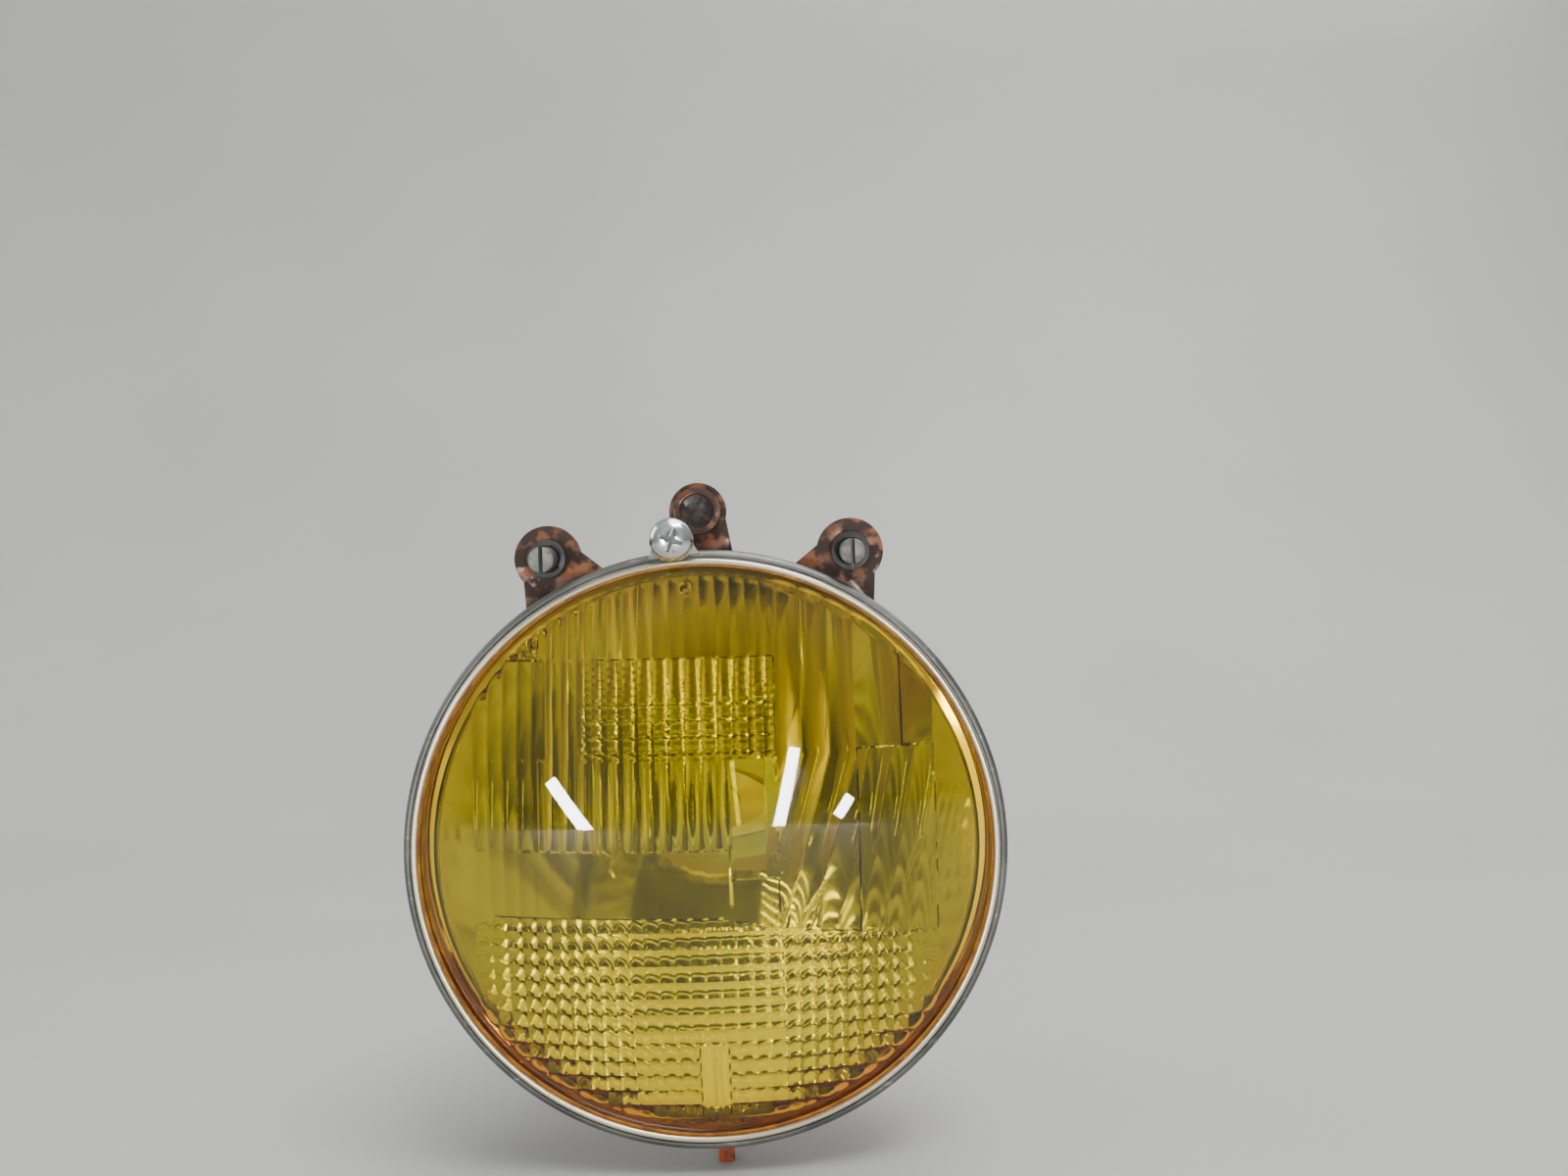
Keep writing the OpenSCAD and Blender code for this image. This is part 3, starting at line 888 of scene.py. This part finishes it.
def threaded(name, profile, sides, place, pitch, depth, start, end):
    """A turned shaft with a rounded helical thread of a pitch and depth, mm, between two depths."""
    shaft = turned(name, profile, sides)

    def cut(x, y, z):
        if y < start or y > end or math.hypot(x, z) < 1.8:
            return x, y, z
        fade = min(1, (y - start) / pitch, (end - y) / pitch)
        wave = 0.5 - 0.5 * math.cos(math.tau * (y / pitch - math.atan2(z, x) / math.tau))
        k = 1 - depth * fade * wave / math.hypot(x, z)
        return x * k, y, z * k

    mould(shaft, cut)
    shaft.location = (place[0] * MM, 0, place[1] * MM)
    only(shaft)
    bpy.ops.object.transform_apply(location=True)
    return shaft


def ringed(radius, start, end, step):
    """Profile points along a plain shaft, close enough together to carry a thread."""
    count = round((end - start) / step)
    return [(radius, start + (end - start) * i / count) for i in range(count + 1)]


AIM_AT = {"left": (-45.6, 88.4), "right": (45.6, 88.4)}
for side, place in AIM_AT.items():
    x, z = place
    stem = threaded("aim_stem_" + side,
                    [(0, -13), (2.9, -13), (3.5, -12.7), (3.8, -12.2), (3.8, -8.2), (3.5, -8),
                     (3.0, -7.9), (3.0, -6.1), (3.5, -6)] + ringed(3.8, -5.7, 49.5, 0.25) +
                    [(3.4, 50), (1.55, 50), (1.55, 43), (0, 43)], 40, place, 2.0, 0.45, -5, 49)
    slot = [(x - 0.6, z - 5), (x + 0.6, z - 5), (x + 0.6, z + 5), (x - 0.6, z + 5)]
    combine(stem, slab("slot", slot, -14, 2.8), "DIFFERENCE")
    hand_over(stem, "aim_screw_" + side, screw_nylon)
    foot = turned("aim_foot_turned_" + side,
                  [(0, 43.5), (1.2, 43.5), (1.5, 43.8), (1.5, 50.2), (2.7, 50.2), (3, 50.5),
                   (3, 56), (1.9, 57.4), (1.6, 57.5), (0, 57.5)], 48, at=place)
    hand_over(foot, "aim_foot_" + side, screw_nylon)
    stamped("bush_" + side, 0.3, black_nylon)

# %% [markdown]
# ## Retaining screw and washer
# The bright screw has a tall dome head with a cross recess, and a long grey shank with a fine
# thread, on which a captive washer slides. The recess is four tapered arms: two crossed slabs
# cut from the dome.

# %% Retaining screw
chrome = steel("screw_chrome", (0.50, 0.50, 0.50), (0.80, 0.80, 0.79), 0.12, 0.12, wear=0.7)
shank_zinc = steel("grey_zinc", (0.22, 0.24, 0.20), (0.36, 0.38, 0.33), 0.34, 0.2)
HEAD_Y, HEAD_R, CROWN = -11.6, 6.5, 4      # the head's rear face, radius and domed height
quarter_turn = [math.radians(7.5 * i) for i in range(13)]
head = [(HEAD_R * math.cos(a), HEAD_Y - 1.4 - CROWN * math.sin(a)) for a in quarter_turn[1:]]
screw = threaded("rim_screw_turned",
                 [(0, head[-1][1])] + head[-2::-1] +
                 [(HEAD_R, HEAD_Y - 1.3), (HEAD_R, HEAD_Y - 0.3), (6.2, HEAD_Y), (2.1, HEAD_Y)] +
                 [(2.1, 20), (2.5, 20.4)] + ringed(2.5, 20.6, 50.8, 0.16) +
                 [(2.4, 51.2), (1.6, 52), (0, 52)], 48, SCREW, 0.8, 0.22, 20.8, 50.6)
arms = [(-3.6, -0.5), (-1, -0.85), (1, -0.85), (3.6, -0.5), (3.6, 0.5), (1, 0.85), (-1, 0.85),
        (-3.6, 0.5)]
for a in (math.radians(-20), math.radians(-110)):
    cross = slab("arm", [(SCREW[0] + u * math.cos(a) - v * math.sin(a),
                          SCREW[1] + u * math.sin(a) + v * math.cos(a)) for u, v in arms],
                 HEAD_Y - 6, 3)
    combine(screw, cross, "DIFFERENCE")
hand_over(screw, "rim_screw", chrome, shank_zinc)
for face in screw.data.polygons:
    face.material_index = int(face.center.y > -0.006)
washer = turned("washer_turned", [(2.15, 14), (7.2, 14), (7.5, 14.3), (7.5, 15.7), (7.2, 16),
                                  (5.2, 16), (4.2, 18.8), (4, 19), (2.15, 19)], 64, at=SCREW)
hand_over(washer, "screw_washer", shank_zinc)

# %% [markdown]
# ## The bulb
# A glass tube with a painted tip stands in a brass base. The glass is turned as a solid and
# hollowed with a boolean, so that it has a thin closed wall and refracts as a tube does. Wire
# pieces are chains of edges with rounded corners that become a curve with a round section, and
# then a mesh.

# %% Wire helper and bulb glass
def wire(name, points, radius, bend=0.0, round_steps=6):
    """Bent round wire through points in mm, with its corners rounded to bend mm."""
    obj = draw(name, points)
    if bend:
        pick("VERT", lambda v: len(v.link_edges) == 2)
        bpy.ops.mesh.bevel(affect="VERTICES", offset=bend * MM, segments=round_steps)
    bpy.ops.object.mode_set(mode="OBJECT")
    bpy.ops.object.convert(target="CURVE")
    obj = bpy.context.active_object
    obj.data.bevel_depth, obj.data.bevel_resolution = radius * MM, 4
    obj.data.use_fill_caps = True
    bpy.ops.object.convert(target="MESH")
    obj = bpy.context.active_object
    clean(obj)
    return obj


bulb_clear = Finish("bulb_clear_glass", Transmission_Weight=1.0, IOR=1.48,
                    Base_Color=(0.97, 0.98, 0.98))
bulb_clear.set("Roughness", 0.01 + 0.03 * bulb_clear.noise(0.2))
tip_paint = Finish("tip_paint", Metallic=0.4)
tip_paint.set("Base Color", tip_paint.blend(tip_paint.noise(0.5), (0.05, 0.055, 0.06),
                                            (0.10, 0.11, 0.12)))
tip_paint.set("Roughness", 0.3 + 0.3 * tip_paint.noise(0.8))
GLASS_R, GLASS_WALL = 8.5, 0.9
dome_angles = quarter_turn[::-1]
glass = turned("bulb_tube", [(GLASS_R * math.cos(a), 51 - 5 * math.sin(a)) for a in dome_angles] +
               [(GLASS_R, 60), (GLASS_R, 75.8), (0, 75.8)], 64, closed=False)
inside = [((GLASS_R - GLASS_WALL) * math.cos(a), 51 - 4.1 * math.sin(a)) for a in dome_angles]
hollow = turned("hollow", inside + [(GLASS_R - GLASS_WALL, 74.8), (0, 74.8)], 64, closed=False)
combine(glass, hollow, "DIFFERENCE")
hand_over(glass, "bulb_glass", bulb_clear, tip_paint)
for face in glass.data.polygons:
    face.material_index = int(face.center.y < 0.0505)

# %% [markdown]
# ## Filaments, shield and base
# Each filament is a fine wire wound into a coil, held by two straight leads. The coil's points
# come from a sine and a cosine, and the wire helper gives them their thickness. The stamped and
# moulded pieces round them keep their CAD shape and only need softer edges and a finish.

# %% Filaments, shield and base
tungsten = steel("filament_wire", (0.20, 0.20, 0.21), (0.38, 0.38, 0.40), 0.3, 0.2)
TURNS, COIL_R, HALF = 11, 0.62, 2.6
coils = []
for depth in (57, 66):
    turns = [(-HALF + 2 * HALF * i / (TURNS * 10), depth + COIL_R * math.cos(math.tau * i / 10),
              COIL_R * math.sin(math.tau * i / 10)) for i in range(TURNS * 10 + 1)]
    coils.append(wire("coil", turns, 0.08))
coils += [wire("lead", [(x, 57, 0), (x, 74.6, 0)], 0.3) for x in (-HALF, HALF)]
only(coils[0])
for part in coils[1:]:
    part.select_set(True)
bpy.ops.object.join()
coils[0].name = "filament_coils"
hand_over(coils[0], "filaments", tungsten)
stamped("filament_shield", 0.1, tungsten)
base_brass = steel("bulb_base_metal", (0.34, 0.29, 0.19), (0.50, 0.44, 0.30), 0.25, 0.2)
flange_steel = steel("bulb_flange_steel", (0.40, 0.40, 0.37), (0.62, 0.62, 0.57), 0.22, 0.2)
stamped("bulb_base", 0.2, base_brass)
stamped("bulb_flange", 0.15, flange_steel)
resin = Finish("insulator_brown", Coat_Weight=0.3)
speck = resin.noise(0.6, 5)
resin.set("Base Color", resin.blend(speck, (0.03, 0.014, 0.008), (0.075, 0.035, 0.018)))
resin.set("Roughness", 0.3 + 0.25 * speck)
resin.bump(speck, 0.2, 0.08)
stamped("bulb_insulator", 0.3, resin)

# %% [markdown]
# ## Blades and clip
# The blades are tinned sheet with chamfered tips, so that a connector slides on, and a small eye
# that it snaps into. One outline serves all three; the top one is turned to lie level. The clip is
# a single bent wire, drawn as the path of its middle and rounded at each bend.

# %% Blades and clip
tin = steel("blade_tin", (0.50, 0.48, 0.40), (0.74, 0.72, 0.64), 0.18, 0.2, wear=0.6)
FOOT_Y, TIP_Y, HALF_W, BLADE_T, OFF = 95.5, 118, 4, 0.8, 8.6
tongue = [(FOOT_Y, -HALF_W), (TIP_Y - 1.8, -HALF_W), (TIP_Y, -HALF_W + 1.3), (TIP_Y, HALF_W - 1.3),
          (TIP_Y - 1.8, HALF_W), (FOOT_Y, HALF_W)]
for name, x in (("blade_left", -OFF), ("blade_right", OFF), ("blade_top", OFF)):
    blade = slab(name + "_stamping", tongue, x - BLADE_T / 2, BLADE_T, across="X")
    combine(blade, slab("eye", disc(1, TIP_Y - 4, 0, 24), x - 2, 4, across="X"), "DIFFERENCE")
    round_edges(blade, 0.14)
    if name == "blade_top":
        only(blade)
        mould(blade, lambda x, y, z: (-z, y, x))
        clean(blade)
    hand_over(blade, name, tin)
spring = steel("spring_wire", (0.55, 0.55, 0.52), (0.80, 0.80, 0.76), 0.15, 0.12)
WIRE_Y, LEG_X, TOP_Z, TOE_Z = 83.8, 12.6, 22, -17
clip = wire("clip_bent", [(-19, WIRE_Y, TOE_Z), (-LEG_X, WIRE_Y, TOE_Z), (-LEG_X, WIRE_Y, TOP_Z),
                          (LEG_X, WIRE_Y, TOP_Z), (LEG_X, WIRE_Y, TOE_Z), (19, WIRE_Y, TOE_Z)],
            0.9, bend=2.0)
hand_over(clip, "bulb_clip", spring)

# %% [markdown]
# ## The last check
# Every CAD node should now have its finished piece, so the CAD nodes that still show are printed.

plain = [name for name, node in NODES.items() if not node.hide_render]
print("CAD nodes still showing:", plain)
